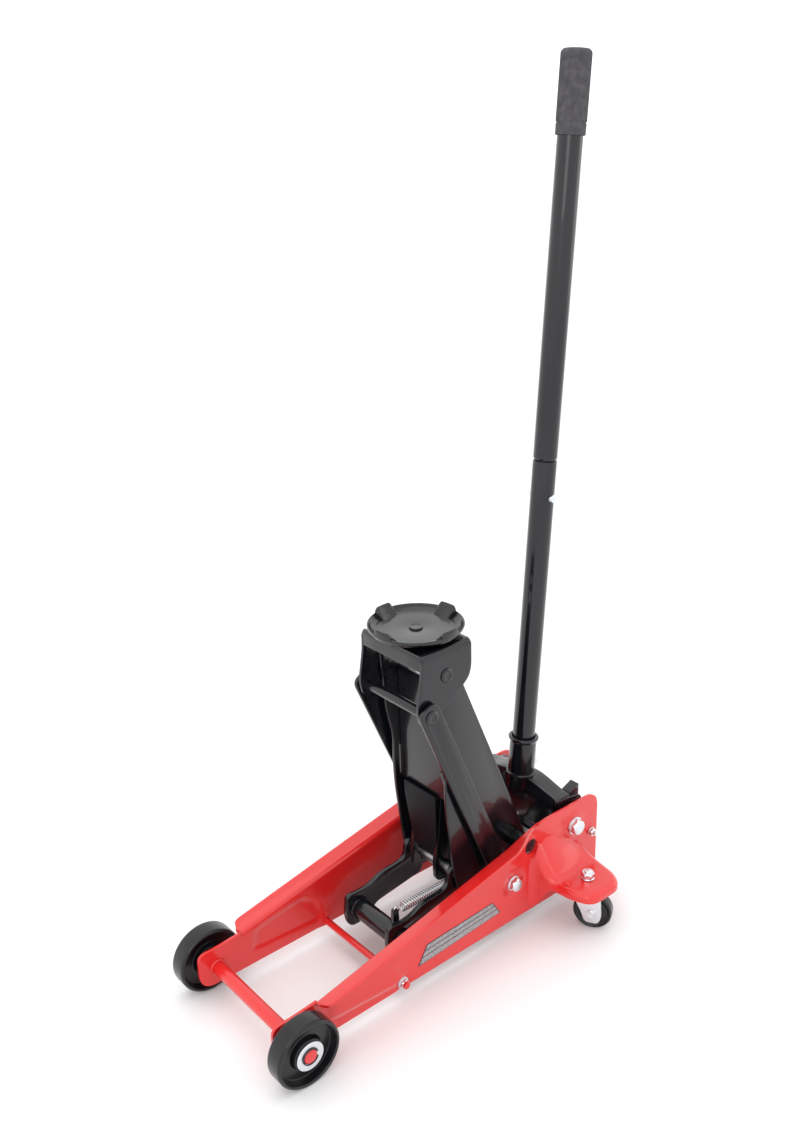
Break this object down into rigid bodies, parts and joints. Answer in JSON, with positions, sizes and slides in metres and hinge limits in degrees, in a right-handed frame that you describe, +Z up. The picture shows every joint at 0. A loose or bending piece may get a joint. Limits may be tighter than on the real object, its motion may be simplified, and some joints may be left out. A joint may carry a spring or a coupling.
{
  "type": "car jack",
  "caption": "Low-profile hydraulic trolley jack standing raised, with swivelling saddle, parallel-link lift arm, rear casters and an upright pump handle.",
  "frame": {"origin": "on the floor under the middle of the overall length, midway between the side plates", "axes": "+Z up, -X towards the front wheels, +X towards the handle, -Y the side that carries the label"},
  "size_m": [0.6137, 0.3514, 1.1304],
  "materials": {
    "red_paint": "gloss",
    "black_paint": "gloss",
    "zinc_plate": "bright plated",
    "spring_steel": "bright drawn wire",
    "bare_steel": "machined",
    "wheel_black": "satin",
    "grip_foam": "matte, fine lengthwise ribs",
    "label_film": "satin film"
  },
  "bodies": {
    "frame": {"frame_side_left": "red_paint", "frame_side_right": "red_paint", "caster_bracket_left": "red_paint", "caster_bracket_right": "red_paint", "front_axle": "red_paint", "axle_washer_left": "zinc_plate", "axle_washer_right": "zinc_plate", "tie_rod": "red_paint", "tie_rod_nut_left": "zinc_plate", "tie_rod_nut_right": "zinc_plate", "rear_tie_rod": "zinc_plate", "caster_stud_left": "zinc_plate", "caster_stud_right": "zinc_plate", "strap_bolt_left": "zinc_plate", "strap_bolt_right": "zinc_plate", "yoke_bolt_left": "zinc_plate", "yoke_bolt_right": "zinc_plate", "label_stripe": "label_film", "arm_pivot_shaft": "bare_steel", "pump_block": "bare_steel", "trunnion_pin": "bare_steel"},
    "front_wheel_left_body": {"front_wheel_left": "wheel_black"},
    "front_wheel_right_body": {"front_wheel_right": "wheel_black"},
    "caster_left": {"caster_fork_left": "zinc_plate", "caster_axle_left": "bare_steel"},
    "caster_right": {"caster_fork_right": "zinc_plate", "caster_axle_right": "bare_steel"},
    "caster_wheel_left_body": {"caster_wheel_left": "wheel_black"},
    "caster_wheel_right_body": {"caster_wheel_right": "wheel_black"},
    "lift_arm": {"arm_side_left": "black_paint", "arm_side_right": "black_paint", "arm_web": "black_paint", "arm_gusset": "black_paint", "lever_cheek_left": "black_paint", "lever_cheek_right": "black_paint", "lever_pin": "bare_steel", "head_pin": "black_paint"},
    "link_straps": {"link_strap_left": "black_paint", "link_strap_right": "black_paint", "strap_cross_rod": "black_paint"},
    "saddle_head": {"saddle_bracket": "black_paint", "saddle_screw": "black_paint"},
    "saddle": {"saddle_cup": "black_paint"},
    "bridle": {"bridle_bar_left": "black_paint", "bridle_bar_right": "black_paint", "bridle_tube": "black_paint"},
    "return_spring_body": {"return_spring": "spring_steel"},
    "ram_barrel_body": {"ram_barrel": "bare_steel"},
    "ram": {"ram_rod": "bare_steel"},
    "pump_lever": {"handle_yoke": "black_paint", "socket_screw": "zinc_plate", "roller_pin": "bare_steel", "pump_roller": "bare_steel"},
    "handle": {"handle_tube_lower": "black_paint", "handle_tube_upper": "black_paint", "handle_bolt": "zinc_plate", "handle_grip": "grip_foam"},
    "release_valve_body": {"release_valve": "bare_steel"},
    "plunger": {"pump_plunger": "bare_steel", "pump_spring": "spring_steel"}
  },
  "joints": [
    {"name": "arm_lift", "type": "hinge", "parent": "frame", "child": "lift_arm", "pos_m": [0.1417, 0, 0.124], "axis": [0, 1, 0], "range_deg": [-64, 0]},
    {"name": "strap_swing", "type": "hinge", "parent": "frame", "child": "link_straps", "pos_m": [0.1097, 0, 0.08], "axis": [0, 1, 0], "range_deg": [-64, 0]},
    {"name": "saddle_level", "type": "hinge", "parent": "lift_arm", "child": "saddle_head", "pos_m": [0.0157, 0, 0.42], "axis": [0, 1, 0], "range_deg": [0, 64]},
    {"name": "saddle_swivel", "type": "hinge", "parent": "saddle_head", "child": "saddle", "pos_m": [0.0177, 0, 0.465], "axis": [0, 0, 1], "continuous": true},
    {"name": "bridle_swing", "type": "hinge", "parent": "lift_arm", "child": "bridle", "pos_m": [0.0397, 0, 0.111], "axis": [0, 1, 0], "range_deg": [0, 97.1]},
    {"name": "ram_swing", "type": "hinge", "parent": "frame", "child": "ram_barrel_body", "pos_m": [0.2177, 0, 0.062], "axis": [0, 1, 0], "range_deg": [-33.5, 0]},
    {"name": "ram_slide", "type": "slide", "parent": "ram_barrel_body", "child": "ram", "axis": [-0.9641, 0, 0.2654], "range_m": [-0.0702, 0]},
    {"name": "spring_swing", "type": "hinge", "parent": "frame", "child": "return_spring_body", "pos_m": [0.1297, -0.033, 0.087], "axis": [0, 1, 0], "range_deg": [-14.5, 0], "deforming": ["return_spring"]},
    {"name": "handle_pump", "type": "hinge", "parent": "frame", "child": "pump_lever", "pos_m": [0.2277, 0, 0.121], "axis": [0, 1, 0], "range_deg": [0, 65]},
    {"name": "handle_twist", "type": "hinge", "parent": "pump_lever", "child": "handle", "pos_m": [0.1943, 0, 0], "axis": [0.0828, 0, 0.9966], "range_deg": [-90, 90]},
    {"name": "valve_turn", "type": "hinge", "parent": "frame", "child": "release_valve_body", "pos_m": [0.2427, 0.028, 0.08], "axis": [0, 0, 1], "range_deg": [-90, 90]},
    {"name": "plunger_stroke", "type": "slide", "parent": "frame", "child": "plunger", "axis": [0, 0, 1], "range_m": [-0.0256, 0], "deforming": ["pump_spring"]},
    {"name": "front_wheel_left_spin", "type": "hinge", "parent": "frame", "child": "front_wheel_left_body", "pos_m": [-0.2623, -0.10875, 0.0446], "axis": [0, 1, 0], "continuous": true},
    {"name": "front_wheel_right_spin", "type": "hinge", "parent": "frame", "child": "front_wheel_right_body", "pos_m": [-0.2623, 0.10875, 0.0446], "axis": [0, 1, 0], "continuous": true},
    {"name": "caster_left_swivel", "type": "hinge", "parent": "frame", "child": "caster_left", "pos_m": [0.1977, -0.141, 0.068], "axis": [0, 0, 1], "continuous": true},
    {"name": "caster_right_swivel", "type": "hinge", "parent": "frame", "child": "caster_right", "pos_m": [0.1977, 0.141, 0.068], "axis": [0, 0, 1], "continuous": true},
    {"name": "caster_wheel_left_spin", "type": "hinge", "parent": "caster_left", "child": "caster_wheel_left_body", "pos_m": [0.2022, -0.14879, 0.027], "axis": [0.866, 0.5, 0], "continuous": true},
    {"name": "caster_wheel_right_spin", "type": "hinge", "parent": "caster_right", "child": "caster_wheel_right_body", "pos_m": [0.2022, 0.14879, 0.027], "axis": [-0.866, 0.5, 0], "continuous": true}
  ],
  "couplings": [
    {"joint": "strap_swing", "follows": "arm_lift", "ratio": 1},
    {"joint": "saddle_level", "follows": "arm_lift", "ratio": -1},
    {"joint": "bridle_swing", "follows": "arm_lift", "ratio": -1.516},
    {"joint": "ram_swing", "follows": "arm_lift", "ratio": 0.5216},
    {"joint": "ram_slide", "follows": "arm_lift", "m_per_rad": 0.0627},
    {"joint": "spring_swing", "follows": "arm_lift", "ratio": 0.2255},
    {"joint": "plunger_stroke", "follows": "handle_pump", "m_per_rad": -0.0221},
    {"joint": "valve_turn", "follows": "handle_twist", "ratio": 1}
  ]
}
